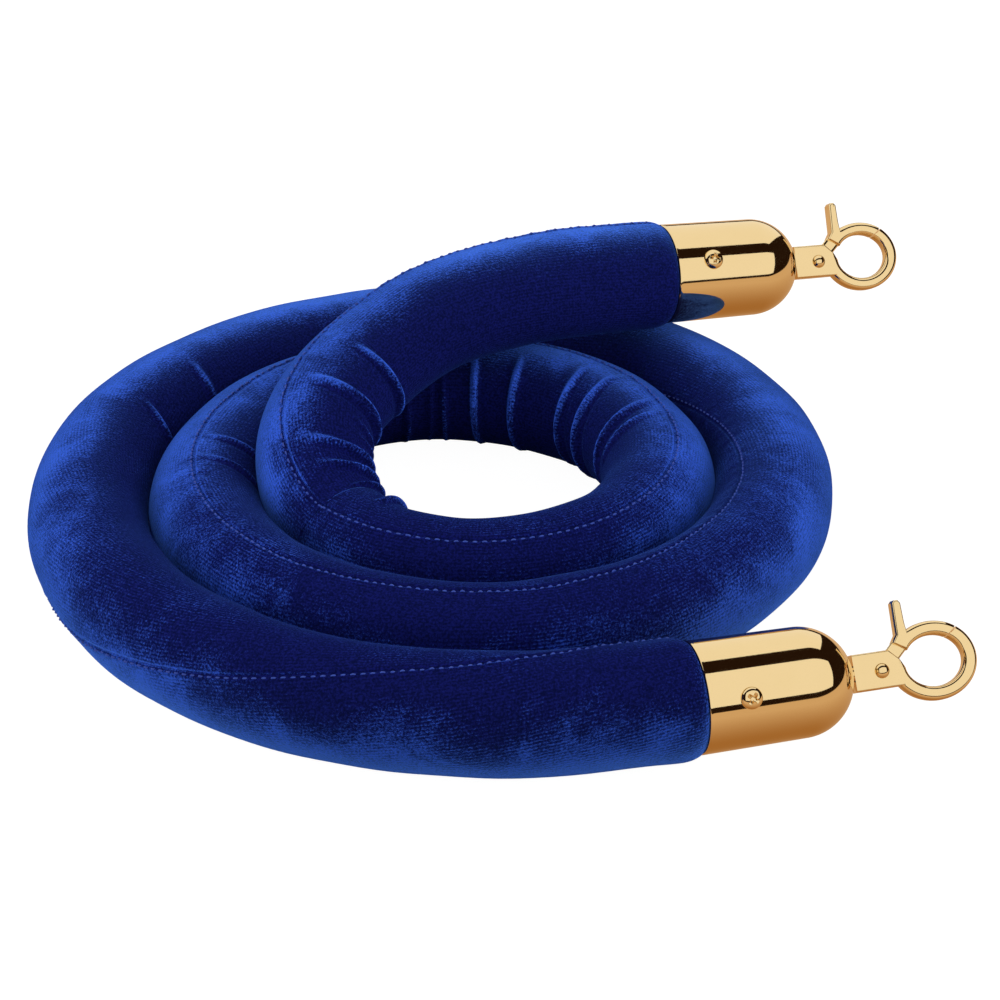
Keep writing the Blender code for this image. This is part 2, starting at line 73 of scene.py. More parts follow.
# Sleeve: its neck in a cap's mouth, the shoulder outside it, and its mesh
NECK_RADIUS = 16.4 * MM
SHOULDER_LENGTH = 7.0 * MM
SHOULDER_RINGS = 13
FREE_LENGTH = 16.0 * MM
SIDES = 92
SEAM_COLUMNS_MM = (0.0, 0.45, 0.9, 1.4, 2.0, 2.8, 3.8)
RING_STEP = 1.85 * MM
FINE_RING_STEP = 0.95 * MM
FINE_STRETCHES_MM = ((300, 350), (905, 945), (1025, 1160), (1285, 1392))
MOUTH_DEPTHS_MM = (9.0, 6.0, 3.5, 1.5)

# Swelling against the next turn inside: where that turn starts, how far into it in mm, the widest gap in mm
# that it closes, and how far from level it points
NEXT_TURN = 250.0 * MM
PRESS = 0.3
PRESS_GAPS = (5.4, 4.6)
PRESS_TILT = (0.75, 0.45)
PRESS_WIDTH = 0.5

# Slow unevenness: (wavelength in mm, turns round the rope, size in mm, phase)
LUMPS = (
    (173.0, 1, 0.20, 0.4),
    (97.0, 2, 0.16, 2.1),
    (61.0, 1, 0.13, 4.4),
    (43.0, 3, 0.09, 1.3),
    (29.0, 2, 0.06, 5.2),
)

# Core, thin enough to stay under the sleeve's creases; its tufts: (size in mm, turn per mm, turns round it)
CORE_RADIUS = 14.6 * MM
CORE_TUFTS = ((0.12, 0.9, 3), (0.1, 0.37, -5))
CORE_INSET = 2.0 * MM
CORE_RINGS = 420
CORE_SIDES = 48

# Seam's stitches
STITCH_PITCH = 2.7 * MM
STITCH_LENGTH = 1.7 * MM
STITCH_RADIUS = 0.3 * MM
STITCH_OFFSET = 0.9 * MM
STITCH_START = 5.0 * MM
STITCH_RINGS = 7
STITCH_SIDES = 6

# Where the seam runs: (distance along the rope in mm, degrees round it from the coil's inner side over the
# top), and in mm how its turns are smoothed, over SEAM_REACH steps to each side
SEAM_POINTS = (
    (0, 45), (30, 67), (60, 91), (100, 116), (138, 151), (200, 195), (300, 255), (400, 305), (500, 350),
    (621, 401), (662, 419), (705, 431), (750, 447), (811, 453), (914, 459), (1000, 461), (1149, 465),
    (1210, 469), (1282, 471), (1324, 481), (1363, 479), (1440, 470), (1520, 455),
)
SEAM_SPAN = (-60.0, 1600.0)
SEAM_STEP = 2.0
SEAM_SMOOTHING = 22.0
SEAM_REACH = 30

# Seam's groove and turned edges: (height, place beside the seam, half width), all in mm
SEAM_PROFILE = ((-0.5, 0.0, 0.55), (0.22, 1.7, 1.1), (0.15, -1.6, 1.2))

# Puckers beside it: their height, (wavelength in mm, share, phase), their place and half width in mm
PUCKER_HEIGHT = 0.12
PUCKER_WAVES = ((8.3, 1.0, 0.0), (5.1, 0.6, 1.0))
PUCKER_PLACE = (2.4, 2.0)

# Folds on the inside of the bends: (distance in mm, its far end in mm, from degrees, to degrees, height in
# mm, width in mm, side of the crease)
FOLDS = (
    (1382.0, 1385.0, 72, -40, 2.1, 1.7, -1),
    (1363.0, 1361.5, 98, -30, 2.4, 1.9, -1),
    (1354.0, 1350.0, 50, -20, 1.0, 1.2, -1),
    (1347.0, 1346.0, 40, -25, 0.9, 1.1, 1),
    (1342.5, 1334.0, 100, 5, 2.1, 1.9, -1),
    (1332.5, 1326.0, 98, 5, 1.8, 1.8, -1),
    (1318.0, 1322.0, 80, 0, 1.4, 1.5, -1),
    (1297.0, 1301.0, 82, 0, 1.8, 2.3, 1),
    (1035.0, 1036.0, 30, -60, 1.1, 1.6, -1),
    (1046.0, 1046.0, 45, -60, 0.9, 1.4, 1),
    (1051.5, 1053.0, 45, -60, 1.3, 1.5, -1),
    (1065.0, 1068.0, 66, -60, 2.0, 2.1, 1),
    (1083.0, 1086.0, 72, -60, 1.9, 2.2, -1),
    (1108.0, 1114.0, 84, -50, 1.9, 1.9, 1),
    (1120.0, 1128.0, 92, -50, 2.1, 2.0, 1),
    (1140.0, 1151.0, 100, -20, 1.7, 1.9, 1),
    (1148.0, 1158.0, 95, 10, 1.3, 1.5, -1),
    (937.5, 937.0, 92, 15, 1.1, 1.5, -1),
    (923.0, 919.0, 92, 10, 0.9, 1.4, -1),
    (312.0, 305.0, 62, -10, 1.0, 1.8, 1),
    (344.5, 342.5, 66, 0, 0.9, 2.2, -1),
)

# End cap, as in the CAD model, in mm from the cap's mouth
CAP_RADIUS = 17.5
DOME_RADIUS = 17.1
CAP_LENGTH = 50.7
CAP_WALL = 1.0
DOME_LENGTH = 17.0
STEM_RADIUS = 2.2
CAP_SEGMENTS = 160

# Cap screws, in mm
SCREW_POSITION = 13.2
SCREW_HEAD_RADIUS = 3.4
SCREW_HEAD_HEIGHT = 2.1
SCREW_GRID = 72
RECESS_DEPTH = 1.25
RECESS_WIDTH = (0.62, 0.40)
RECESS_REACH = (2.15, 1.75)
RECESS_CONE = (2.3, 0.3)
SCREW_ROLL_DEG = {"a": 26.0, "b": 38.0}
SCREW_TURN_DEG = {"a": 40.0, "b": 15.0}

# Hook, in mm in its own plane: X out of the cap, Y up towards the thumb lever. It is as in the CAD model,
# apart from rounded edges, a slimmer and more upright lever, and a wider neck
HOOK_ROLL_DEG = {"a": 37.0, "b": 33.0}
PLATE_THICKNESS = 5.0
PLATE_BEVEL = 1.6
BEVEL_SEGMENTS = 5
SLIGHT_ROUNDING = 0.35
PLATE_START = 0.5
SHANK_HALF_HEIGHT = 5.8
SHANK_CORNER = (12.6, 5.8)
SHANK_CHAMFER_END = (15.9, 2.6)
RING_CENTRE = (27.0, 0.6)
RING_OUTER = (14.0, 12.3)
RING_INNER = (9.6, 7.9)
RING_START_DEG = 211
RING_HOLE_START_DEG = 188
NOSE_INNER_DEG = 57
NOSE_OUTER_DEG = 50
GATE_GAP_DEG = 2.6
GATE_HEEL_DEG = 147
GATE_OUTER_END_DEG = 122
GATE_HEEL_CORNER = (14.6, 7.6)
LEVER_OUTLINE = ((19.3, 13.6), (19.1, 19.6), (18.3, 20.6), (17.1, 20.6), (16.4, 19.8), (16.2, 10.0))
HUB_RADIUS = 3.3
HUB_THICKNESS = 1.3
HUB_OFFSET = -0.55
NECK_HALF_WIDTH = 2.5
NECK_END = (18.2, 8.0)
SLOT_WIDTH = 2.8
SLOT_START = 4.5
SLOT_END = 17.2
SLOT_FLOOR = -4.3
SLOT_TOP = 20.0
STEM_END = -4.0
ROUND_SIDES = 64
RIVET_CENTRE = (9.4, -0.3)
RIVET_HEAD_RADIUS = 2.35
RIVET_HEAD_HEIGHT = 1.2
RIVET_RADIUS = 1.2
SMOOTH_EDGE = math.radians(38)

# Velvet pile: its colours, among them its painted sheen, the step of the painted sheen that brightens its
# base colour, and how its nap leans
VELVET_DEEP = (0.0036, 0.0056, 0.050)
VELVET_DARK = (0.0092, 0.0130, 0.150)
VELVET_PAINTED_SHEEN = (0.048, 0.150, 0.88)
VELVET_STEP = (0.455, 0.98)
NAP_LEAN = 0.55
NAP_SPREAD = (0.6, 1.4)
SURFACE_LEAN = 0.7 * NAP_LEAN

# Painted shade on the coil's inner sides, where the turns shade each other inside the bends: how much
# darker, its step, and how far fold ridges rise out of it; and a painted highlight on fold crests: the fold
# height in mm that makes it full, and how much it brightens
PAINTED_INSIDE_SHADE = 0.45
INSIDE_SHADE_STEP = (-0.15, 0.75)
FOLD_LIGHT = 0.75
CREST_HIGHLIGHT_FOLD = 2.2
CREST_HIGHLIGHT_SHIFT = 0.42

# Its sheen, its knitted ground, and the sizes of its patterns as noise scales
VELVET_SHEEN = 0.9
SHEEN_ROUGHNESS = 0.36
SHEEN_TINT = (0.085, 0.25, 1.0)
KNIT_ROW = 1.15 * MM
KNIT_STITCH = 1.0 * MM
WANDER_SCALE = 220.0
CLEARNESS_SCALE = 35.0
GRAIN_SCALE = 1300.0
BRUSHED_SCALE = 60.0
PATCH_SCALE = 24.0

# Studio light: the surround's strength low down and overhead, and what polished metal sees
LOW_SKY = 1.0
HIGH_SKY = 0.4
DARK_SURROUND = (0.018, 0.008, 0.004)
NEAR_GROUND = (0.42, 0.20, 0.065)
FAR_GROUND = (0.72, 0.51, 0.33)
GROUND_HEIGHTS = (-0.95, -0.25, -0.045, -0.035)
FLOOR_GLOW = 0.97
FLOOR_WHITE = 0.18
FLOOR_RADIUS = 6.0
SKY_HEIGHTS = (0.1, 0.8)
PANEL_COLOUR = (1.0, 0.985, 0.95)
SIDE_POWER = 10.0
SOFTBOX_SIZE = (1.2, 0.9)
LEFT_SOFTBOX = (-1.6, -0.3, 0.8)
RIGHT_SOFTBOX = (1.7, -0.2, 0.9)
BACK_PANEL = ((0.50, 0.17, 0.55), (-0.60, -0.19, 0.55), (-0.79, 0.09, 0.10), (0.31, 0.45, 0.10))
FRONT_PANEL = ((0.79, 0.0, 0.55), (-0.20, -0.33, 0.55), (-0.22, -0.69, 0.09), (0.765, -0.34, 0.09))


# Camera


def make_camera():
    camera = bpy.data.objects.new("camera", bpy.data.cameras.new("camera"))
    bpy.context.scene.collection.objects.link(camera)
    camera.location = CAMERA_PLACE
    camera.rotation_euler = (CAMERA_TILT, 0.0, 0.0)
    camera.data.sensor_width = SENSOR_WIDTH
    camera.data.lens = CAMERA_LENS
    camera.data.clip_start = 0.01
    bpy.context.scene.camera = camera


# Route


def route_points():
    """The points that the rope's centre line passes through, from cap A's mouth to cap B's."""
    points = [COIL_CENTRE + (x * MM, y * MM, REST_HEIGHT) for x, y in LEAD_POINTS_MM]
    for degrees in range(COIL_START_DEG, COIL_END_DEG + 1, COIL_STEP_DEG):
        angle = math.radians(degrees)
        radius = COIL_RADIUS - COIL_PITCH * degrees / 360
        points.append(COIL_CENTRE + (-radius * math.sin(angle), -radius * math.cos(angle), REST_HEIGHT))
    points.extend(COIL_CENTRE + np.array(point) * MM for point in CLIMB_POINTS_MM)
    return np.array(points)


class SmoothLine:
    """A natural cubic spline through points, as in the CAD model, that never dips below a rope at rest."""

    def __init__(self, points):
        self.points = points
        steps = np.linalg.norm(np.diff(points, axis=0), axis=1)
        self.knots = np.concatenate([[0.0], np.cumsum(steps)])
        self.length = self.knots[-1]
        count = len(points)
        system = np.eye(count)
        target = np.zeros((count, 3))
        slopes = np.diff(points, axis=0) / steps[:, None]
        for i in range(1, count - 1):
            system[i, i - 1 : i + 2] = (steps[i - 1], 2 * (steps[i - 1] + steps[i]), steps[i])
            target[i] = 6 * (slopes[i] - slopes[i - 1])
        self.bends = np.linalg.solve(system, target)

    def at(self, distances):
        """Places at distances along the line; past an end it goes straight on."""
        inside = np.clip(distances, 0.0, self.length)
        i = np.clip(np.searchsorted(self.knots, inside, side="right") - 1, 0, len(self.points) - 2)
        step = (self.knots[i + 1] - self.knots[i])[:, None]
        after = (inside - self.knots[i])[:, None]
        before = (self.knots[i + 1] - inside)[:, None]
        places = (self.bends[i] * before**3 + self.bends[i + 1] * after**3) / (6 * step)
        places += (self.points[i] / step - self.bends[i] * step / 6) * before
        places += (self.points[i + 1] / step - self.bends[i + 1] * step / 6) * after
        places[:, 2] = np.maximum(places[:, 2], REST_HEIGHT)
        return places

    def frames(self, distances):
        """(place, along, across, up) at each distance: across points to the inside of the coil."""
        distances = np.asarray(distances, float)
        small = 0.5 * MM
        first = np.clip(distances - small, 0.0, self.length - 2 * small)
        last = np.clip(distances + small, 2 * small, self.length)
        along = self.at(last) - self.at(first)
        along /= np.linalg.norm(along, axis=1)[:, None]
        across = np.cross(along, (0.0, 0.0, 1.0))
        across /= np.linalg.norm(across, axis=1)[:, None]
        up = np.cross(across, along)
        past = distances - np.clip(distances, 0.0, self.length)
        return self.at(distances) + along * past[:, None], along, across, up


# Sleeve


def smooth_step(low, high, value):
    share = np.clip((value - low) / (high - low), 0.0, 1.0)
    return share * share * (3 - 2 * share)


def ring_distances(line):
    """Distances of the sleeve's rings, closer together where the velvet folds and at the caps' mouths."""
    shoulder = [SHOULDER_LENGTH * (i / (SHOULDER_RINGS - 1)) ** 1.4 for i in range(SHOULDER_RINGS)]
    distances = [-depth * MM for depth in MOUTH_DEPTHS_MM] + shoulder
    last = line.length - SHOULDER_LENGTH
    while distances[-1] < last - RING_STEP:
        here = distances[-1]
        fine = any(low * MM <= here <= high * MM for low, high in FINE_STRETCHES_MM)
        distances.append(here + (FINE_RING_STEP if fine else RING_STEP))
    distances += [line.length - distance for distance in reversed(shoulder)]
    distances += [line.length + depth * MM for depth in reversed(MOUTH_DEPTHS_MM)]
    return np.array(distances)


def seam_angle(distances):
    """The seam's angle round the rope, smoothed between its stated points."""
    places, angles = np.array(SEAM_POINTS, float).T
    fine = np.arange(*SEAM_SPAN, SEAM_STEP)
    raw = np.interp(fine, places, angles)
    kernel = np.exp(-((np.arange(-SEAM_REACH, SEAM_REACH + 1) * SEAM_STEP / SEAM_SMOOTHING) ** 2))
    padded = np.pad(raw, SEAM_REACH, mode="edge")
    smooth = np.convolve(padded, kernel / kernel.sum(), mode="valid")
    return np.radians(np.interp(np.asarray(distances) / MM, fine, smooth))


def side_offsets():
    """Angles of the sleeve's columns from its seam, closest together beside the seam."""
    near = np.array(SEAM_COLUMNS_MM) * MM / ROPE_RADIUS
    rest = np.linspace(near[-1], math.tau - near[-1], SIDES - 2 * len(near) + 3)[1:-1]
    return np.concatenate([near, rest, math.tau - near[:0:-1]])


def wrapped(angle):
    return (angle + math.pi) % math.tau - math.pi


def lumps(distances, angles):
    """Slow unevenness of a padded rope, in mm."""
    total = np.zeros(np.broadcast(distances, angles).shape)
    for wavelength, turns, size, phase in LUMPS:
        total += size * np.sin(math.tau * distances / MM / wavelength + turns * angles + phase)
    return total


def fold_heights(distances, angles):
    """Folds that cross the inside of the bends, each a rounded ridge beside a crease, in mm."""
    total = np.zeros(np.broadcast(distances, angles).shape)
    along = distances / MM
    for start, end, from_degrees, to_degrees, height, width, side in FOLDS:
        middle = math.radians((from_degrees + to_degrees) / 2)
        half = math.radians(abs(from_degrees - to_degrees) / 2)
        turn = wrapped(angles - middle) / half
        reach = np.clip(1 - turn**2, 0.0, 1.0)
        place = start + (end - start) * np.clip((1 - turn) / 2, 0.0, 1.0)

        # A fold thins towards both ends; its ridge has steep sides, and the crease runs beside it
        across = (along - place) / (0.88 * width * (0.65 + 0.35 * reach))
        ridge = np.exp(-(np.abs(across) ** 2.4))
        crease = np.exp(-(((across - 1.6 * side) / 0.7) ** 2))
        total += height * reach**0.8 * (1.35 * ridge - 0.3 * crease)
    return total


def seam_heights(offsets):
    """The seam's groove and the turned edges beside it, in mm, by angle from the seam."""
    across = wrapped(offsets) * ROPE_RADIUS / MM
    return sum(
        height * np.exp(-(((across - place) / half_width) ** 2))
        for height, place, half_width in SEAM_PROFILE
    )


def pucker_heights(distances, offsets):
    """Small puckers that the seam's stitches pull, in mm."""
    across = np.abs(wrapped(offsets)) * ROPE_RADIUS / MM
    waves = [
        share * np.sin(math.tau * distances / MM / wavelength + phase)
        for wavelength, share, phase in PUCKER_WAVES
    ]
    place, half_width = PUCKER_PLACE
    return PUCKER_HEIGHT * sum(waves) * np.exp(-(((across - place) / half_width) ** 2))


def side_press(line, distances, angles):
    """How far each turn swells sideways, in mm, to lie against the next turn inside it."""
    places, _, across, up = line.frames(distances)
    later = np.arange(0.0, line.length, 2.0 * MM)
    others = line.at(later)
    gaps = np.linalg.norm(others - places[:, None], axis=2)
    gaps[later < distances[:, None] + NEXT_TURN] = 1.0
    nearest = np.argmin(gaps, axis=1)
    gap = gaps[np.arange(len(distances)), nearest] - 2 * ROPE_RADIUS
    away = others[nearest] - places
    direction = np.arctan2(np.sum(away * up, axis=1), np.sum(away * across, axis=1))
    size = (gap / MM + PRESS) * smooth_step(*PRESS_GAPS, gap / MM)
    size = size * smooth_step(*PRESS_TILT, np.abs(direction))
    turn = wrapped(angles - direction[:, None])
    return np.clip(size, 0.0, None)[:, None] * np.exp(-((turn / PRESS_WIDTH) ** 2))


def shoulder_radius(distance):
    """The sleeve's radius at a distance outside a cap's mouth."""
    share = np.clip(distance / SHOULDER_LENGTH, 0.0, 1.0)
    return NECK_RADIUS + (ROPE_RADIUS - NECK_RADIUS) * np.sqrt(1 - (1 - share) ** 2)


def sleeve_points(line, distances, offsets):
    """Points of the sleeve's surface, by distance along the rope and angle from the seam."""
    angles = seam_angle(distances)[:, None] + offsets
    column = distances[:, None]
    inside = np.minimum(distances, line.length - distances)
    radius = shoulder_radius(inside)[:, None]
    free = smooth_step(0.0, FREE_LENGTH, inside)[:, None]
    heights = lumps(column, angles) + fold_heights(column, angles)
    heights += pucker_heights(column, offsets) + side_press(line, distances, angles)
    heights = free * heights + smooth_step(0.0, 5 * MM, inside)[:, None] * seam_heights(offsets)
    radius = radius + heights * MM
    place, _, across, up = line.frames(distances)
    points = place[:, None] + radius[..., None] * (
        np.cos(angles)[..., None] * across[:, None] + np.sin(angles)[..., None] * up[:, None]
    )
    points[..., 2] = np.maximum(points[..., 2], 0.0)
    return points


def grid_mesh(name, points, coordinates=None):
    """A tube's mesh from rings of points, with its ends closed inside the caps."""
    rings, sides, _ = points.shape
    index = np.arange(rings * sides).reshape(rings, sides)
    after = np.roll(index, -1, axis=1)
    faces = np.stack([index[:-1], after[:-1], after[1:], index[1:]], -1).reshape(-1, 4)
    vertices = points.reshape(-1, 3)
    polygons = faces.tolist() + [index[0][::-1].tolist(), index[-1].tolist()]
    mesh = bpy.data.meshes.new(name)
    mesh.from_pydata(vertices.tolist(), [], polygons)
    if coordinates is not None:
        along, around, width = coordinates
        layer = mesh.uv_layers.new(name="UVMap")
        wide = np.concatenate([around, [width]])
        u = np.broadcast_to(along[:, None], (rings, sides + 1))
        v = np.broadcast_to(wide, (rings, sides + 1))
        grid = np.stack([u, v], -1)
        corners = np.stack([grid[:-1, :-1], grid[:-1, 1:], grid[1:, 1:], grid[1:, :-1]], 2)
        flat = np.zeros((len(mesh.loops), 2))
        flat[: corners.size // 2] = corners.reshape(-1, 2)
        layer.data.foreach_set("uv", flat.astype(np.float32).ravel())
    mesh.validate()
    mesh.shade_smooth()
    return mesh


def add_piece(name, mesh, material):
    item = bpy.data.objects.new(name, mesh)
    bpy.context.scene.collection.objects.link(item)
    mesh.materials.append(material)
    return item


def face_outwards(mesh):
    shape = bmesh.new()
    shape.from_mesh(mesh)
    bmesh.ops.recalc_face_normals(shape, faces=shape.faces)
    shape.to_mesh(mesh)
    shape.free()


def mark_painted_light(mesh, distances, offsets):
    """Stores where painted shade falls on the coil's inner sides inside the bends, less on fold ridges, and
    where fold crests get a painted highlight.
    """
    angles = seam_angle(distances)[:, None] + offsets
    folds = fold_heights(distances[:, None], angles)
    inside_shade = np.cos(angles) - FOLD_LIGHT * folds
    crest_highlight = np.clip(folds / CREST_HIGHLIGHT_FOLD, 0.0, 1.0)
    for name, values in (("inside_shade", inside_shade), ("crest_highlight", crest_highlight)):
        layer = mesh.attributes.new(name, "FLOAT", "POINT")
        layer.data.foreach_set("value", values.astype(np.float32).ravel())


def build_sleeve(line, material):
    distances = ring_distances(line)
    offsets = side_offsets()
    points = sleeve_points(line, distances, offsets)
    around = offsets * ROPE_RADIUS
    mesh = grid_mesh("velvet", points, (distances, around, math.tau * ROPE_RADIUS))
    face_outwards(mesh)
    mark_painted_light(mesh, distances, offsets)
    sleeve = add_piece("velvet", mesh, material)
    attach(sleeve, "rope")
    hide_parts("velvet_sleeve")
    return sleeve


def build_core(line, material):
    """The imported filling: a slightly lumpy tube that stays clear of the sleeve's folds."""
    distances = np.linspace(-CORE_INSET, line.length + CORE_INSET, CORE_RINGS)
    turns = np.linspace(0.0, math.tau, CORE_SIDES, endpoint=False)
    place, _, across, up = line.frames(distances)
    column = distances[:, None] / MM
    tufts = sum(size * np.sin(column * rate + count * turns) for size, rate, count in CORE_TUFTS)
    radius = CORE_RADIUS + tufts * MM
    points = place[:, None] + radius[..., None] * (
        np.cos(turns)[:, None] * across[:, None] + np.sin(turns)[:, None] * up[:, None]
    )
    mesh = grid_mesh("core", points)
    face_outwards(mesh)
    core = add_piece("core", mesh, material)
    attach(core, "rope")
    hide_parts("rope_core")


def build_stitches(line, material):
    """The seam's thread: short stitches that sink into the cloth beside the seam."""
    middles = np.arange(STITCH_START, line.length - STITCH_START, STITCH_PITCH)
    steps = np.linspace(-0.5, 0.5, STITCH_RINGS)
    distances = (middles[:, None] + steps * STITCH_LENGTH).ravel()
    offset = np.array((STITCH_OFFSET / ROPE_RADIUS, (STITCH_OFFSET + 0.1 * MM) / ROPE_RADIUS))
    pairs = sleeve_points(line, distances, offset)
    surface, beside = pairs[:, 0], pairs[:, 1]
    place, _, _, _ = line.frames(distances)
    outwards = surface - place
    outwards /= np.linalg.norm(outwards, axis=1)[:, None]
    sideways = beside - surface
    sideways -= np.sum(sideways * outwards, axis=1)[:, None] * outwards
    sideways /= np.linalg.norm(sideways, axis=1)[:, None]

    # Each stitch thins and dives at its ends, by a depth that varies, and stays above the floor
    share = np.tile(steps * 2, len(middles))
    thick = STITCH_RADIUS * np.sqrt(np.maximum(1 - np.abs(share) ** 3, 0.02))
    sunk = 0.35 * np.sin(2.4 * np.repeat(np.arange(len(middles)), STITCH_RINGS))
    centre = surface + outwards * (STITCH_RADIUS * (0.6 + sunk - 1.5 * share**2))[:, None]
    turns = np.linspace(0.0, math.tau, STITCH_SIDES, endpoint=False)
    points = centre[:, None] + thick[:, None, None] * (
        np.cos(turns)[:, None] * sideways[:, None] + np.sin(turns)[:, None] * outwards[:, None]
    )
    points[..., 2] += np.maximum(-points[..., 2].min(axis=1), 0.0)[:, None]
    index = np.arange(len(distances) * STITCH_SIDES).reshape(len(middles), STITCH_RINGS, STITCH_SIDES)
    after = np.roll(index, -1, axis=2)
    faces = np.stack([index[:, :-1], after[:, :-1], after[:, 1:], index[:, 1:]], -1).reshape(-1, 4)
    ends = index[:, 0, ::-1].tolist() + index[:, -1].tolist()
    mesh = bpy.data.meshes.new("seam_stitches")
    mesh.from_pydata(points.reshape(-1, 3).tolist(), [], faces.tolist() + ends)
    face_outwards(mesh)
    mesh.shade_smooth()
    thread = add_piece("seam_stitches", mesh, material)
    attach(thread, "rope")


# Gold ends


def end_matrix(mouth, out, roll_degrees):
    """A cap's frame in mm: X out of the cap, -Y towards the side that the roll turns to, Z across it."""
    level = np.array((out[1], -out[0], 0.0)) / np.hypot(out[0], out[1])
    upwards = np.cross(level, out)
    if upwards[2] < 0:
        upwards = -upwards
    roll = math.radians(roll_degrees)
    front = math.cos(roll) * level + math.sin(roll) * upwards
    over = math.cos(roll) * upwards - math.sin(roll) * level
    matrix = np.eye(4)
    matrix[:3, 0], matrix[:3, 1], matrix[:3, 2] = out * MM, -front * MM, over * MM
    matrix[:3, 3] = mouth
    return Matrix(matrix.tolist())


def finished(mesh, matrix):
    """The mesh moved from mm in an end's frame to its place, faces outwards."""
    mesh.transform(matrix)
    face_outwards(mesh)
    mesh.shade_smooth()
    mesh.set_sharp_from_angle(angle=SMOOTH_EDGE)
    return mesh


def turned_mesh(name, profile, segments):
    """A solid turned round X from (radius, X) points; points at radius 0 close it."""
    profile = np.array(profile, float)
    turns = np.linspace(0.0, math.tau, segments, endpoint=False)
    closed = profile[0, 0] > 0
    body = profile if closed else profile[1:-1]
    rings = np.stack(
        [
            np.broadcast_to(body[:, 1:], (len(body), segments)),
            body[:, :1] * np.cos(turns),
            body[:, :1] * np.sin(turns),
        ],
        -1,
    )
    index = np.arange(len(body) * segments).reshape(len(body), segments)
    if closed:
        index = np.concatenate([index, index[:1]])
    after = np.roll(index, -1, axis=1)
    faces = np.stack([index[:-1], after[:-1], after[1:], index[1:]], -1).reshape(-1, 4).tolist()
    vertices = rings.reshape(-1, 3).tolist()
    if not closed:
        for ring, place in ((index[0], profile[0, 1]), (index[-1], profile[-1, 1])):
            vertices.append([place, 0.0, 0.0])
            faces += [[int(a), int(b), len(vertices) - 1] for a, b in zip(ring, np.roll(ring, -1))]
    mesh = bpy.data.meshes.new(name)
    mesh.from_pydata(vertices, [], faces)
    return mesh


def arc(centre, half_axes, start_degrees, end_degrees, step=2.5):
    count = max(2, round(abs(end_degrees - start_degrees) / step))
    angles = np.radians(np.linspace(start_degrees, end_degrees, count + 1))
    (x, y), (half_width, half_height) = centre, half_axes
    return [(x + half_width * math.cos(angle), y + half_height * math.sin(angle)) for angle in angles]


def cap_profile():
    """(radius, X): out from the rolled mouth, along the tapered wall, over the dome and back inside."""
    dome_start = CAP_LENGTH - DOME_LENGTH
    hole = STEM_RADIUS + 0.3
    lip = arc((CAP_WALL / 2, CAP_RADIUS - CAP_WALL / 2), (CAP_WALL / 2, CAP_WALL / 2), 270, 90, 22.5)
    wall = [
        (x, CAP_RADIUS + (DOME_RADIUS - CAP_RADIUS) * x / dome_start)
        for x in np.linspace(1.2, dome_start - 1.0, 12)
    ]
    last = math.degrees(math.acos(hole / DOME_RADIUS))
    dome = arc((dome_start, 0.0), (DOME_LENGTH, DOME_RADIUS), 90, 90 - last, 2.0)
    inner_last = math.degrees(math.acos(hole / (DOME_RADIUS - CAP_WALL)))
    inside = arc(
        (dome_start, 0.0), (DOME_LENGTH - CAP_WALL, DOME_RADIUS - CAP_WALL), 90 - inner_last, 90, 6.0
    )
    return [(radius, x) for x, radius in lip + wall + dome + inside]


def screw_mesh(name):
    """A round screw head with a cross recess, facing -Y, its centre over the cap's axis at the origin."""
    count = SCREW_GRID
    side = np.linspace(-1.0, 1.0, count + 1)
    a, b = np.meshgrid(side, side, indexing="ij")
    x = a * np.sqrt(1 - b * b / 2)
    z = b * np.sqrt(1 - a * a / 2)
    radius = np.hypot(x, z)
    height = SCREW_HEAD_HEIGHT * (0.1 + 0.95 * np.sqrt(np.maximum(1 - (radius / 1.003) ** 2.1, 0.0)))
    across, along = np.abs(x * SCREW_HEAD_RADIUS), np.abs(z * SCREW_HEAD_RADIUS)
    arm_x = smooth_step(*RECESS_WIDTH, along) * smooth_step(*RECESS_REACH, across)
    arm_z = smooth_step(*RECESS_WIDTH, across) * smooth_step(*RECESS_REACH, along)
    cone = smooth_step(*RECESS_CONE, radius * SCREW_HEAD_RADIUS)
    height -= RECESS_DEPTH * np.maximum(arm_x, arm_z) * cone
    vertices = np.stack([x * SCREW_HEAD_RADIUS, -height, z * SCREW_HEAD_RADIUS], -1).reshape(-1, 3)
    index = np.arange((count + 1) ** 2).reshape(count + 1, count + 1)
    faces = np.stack([index[:-1, :-1], index[1:, :-1], index[1:, 1:], index[:-1, 1:]], -1).reshape(-1, 4)
    rim = np.concatenate([index[0, :-1], index[:-1, -1], index[-1, :0:-1], index[:0:-1, 0]])
    skirt = vertices[rim].copy()
    skirt[:, 1] = 1.0
    lower = len(vertices) + np.arange(len(rim))
    sides = np.stack([rim, np.roll(rim, -1), np.roll(lower, -1), lower], -1)
    mesh = bpy.data.meshes.new(name)
    every = np.concatenate([vertices, skirt]).tolist()
    mesh.from_pydata(every, [], faces.tolist() + sides.tolist() + [lower.tolist()])
    return mesh


def rivet_profile():
    """(radius, X): a pin with a domed head at each end."""
    half = PLATE_THICKNESS / 2
    dome = arc((half, 0.0), (RIVET_HEAD_HEIGHT + 0.7, RIVET_HEAD_RADIUS), 0, 90, 7.5)
    top = [(max(radius, 0.0), x) for x, radius in dome]
    top[0] = (0.0, top[0][1])
    shank = [(RIVET_RADIUS, half), (RIVET_RADIUS, -half)]
    return top + shank + [(radius, -x) for radius, x in reversed(top)]


def hook_outline():
    """The hook's outline: along the shank's underside, out round the ring to its nose and back inside."""
    outline = [(PLATE_START, -SHANK_HALF_HEIGHT), (PLATE_START + 5.0, -SHANK_HALF_HEIGHT)]
    outline += arc(RING_CENTRE, RING_OUTER, RING_START_DEG, 360 + NOSE_OUTER_DEG)
    outline += arc(RING_CENTRE, RING_INNER, 360 + NOSE_INNER_DEG, RING_HOLE_START_DEG)
    outline += [SHANK_CHAMFER_END, SHANK_CORNER]
    return outline + [(PLATE_START + 5.0, SHANK_HALF_HEIGHT), (PLATE_START, SHANK_HALF_HEIGHT)]


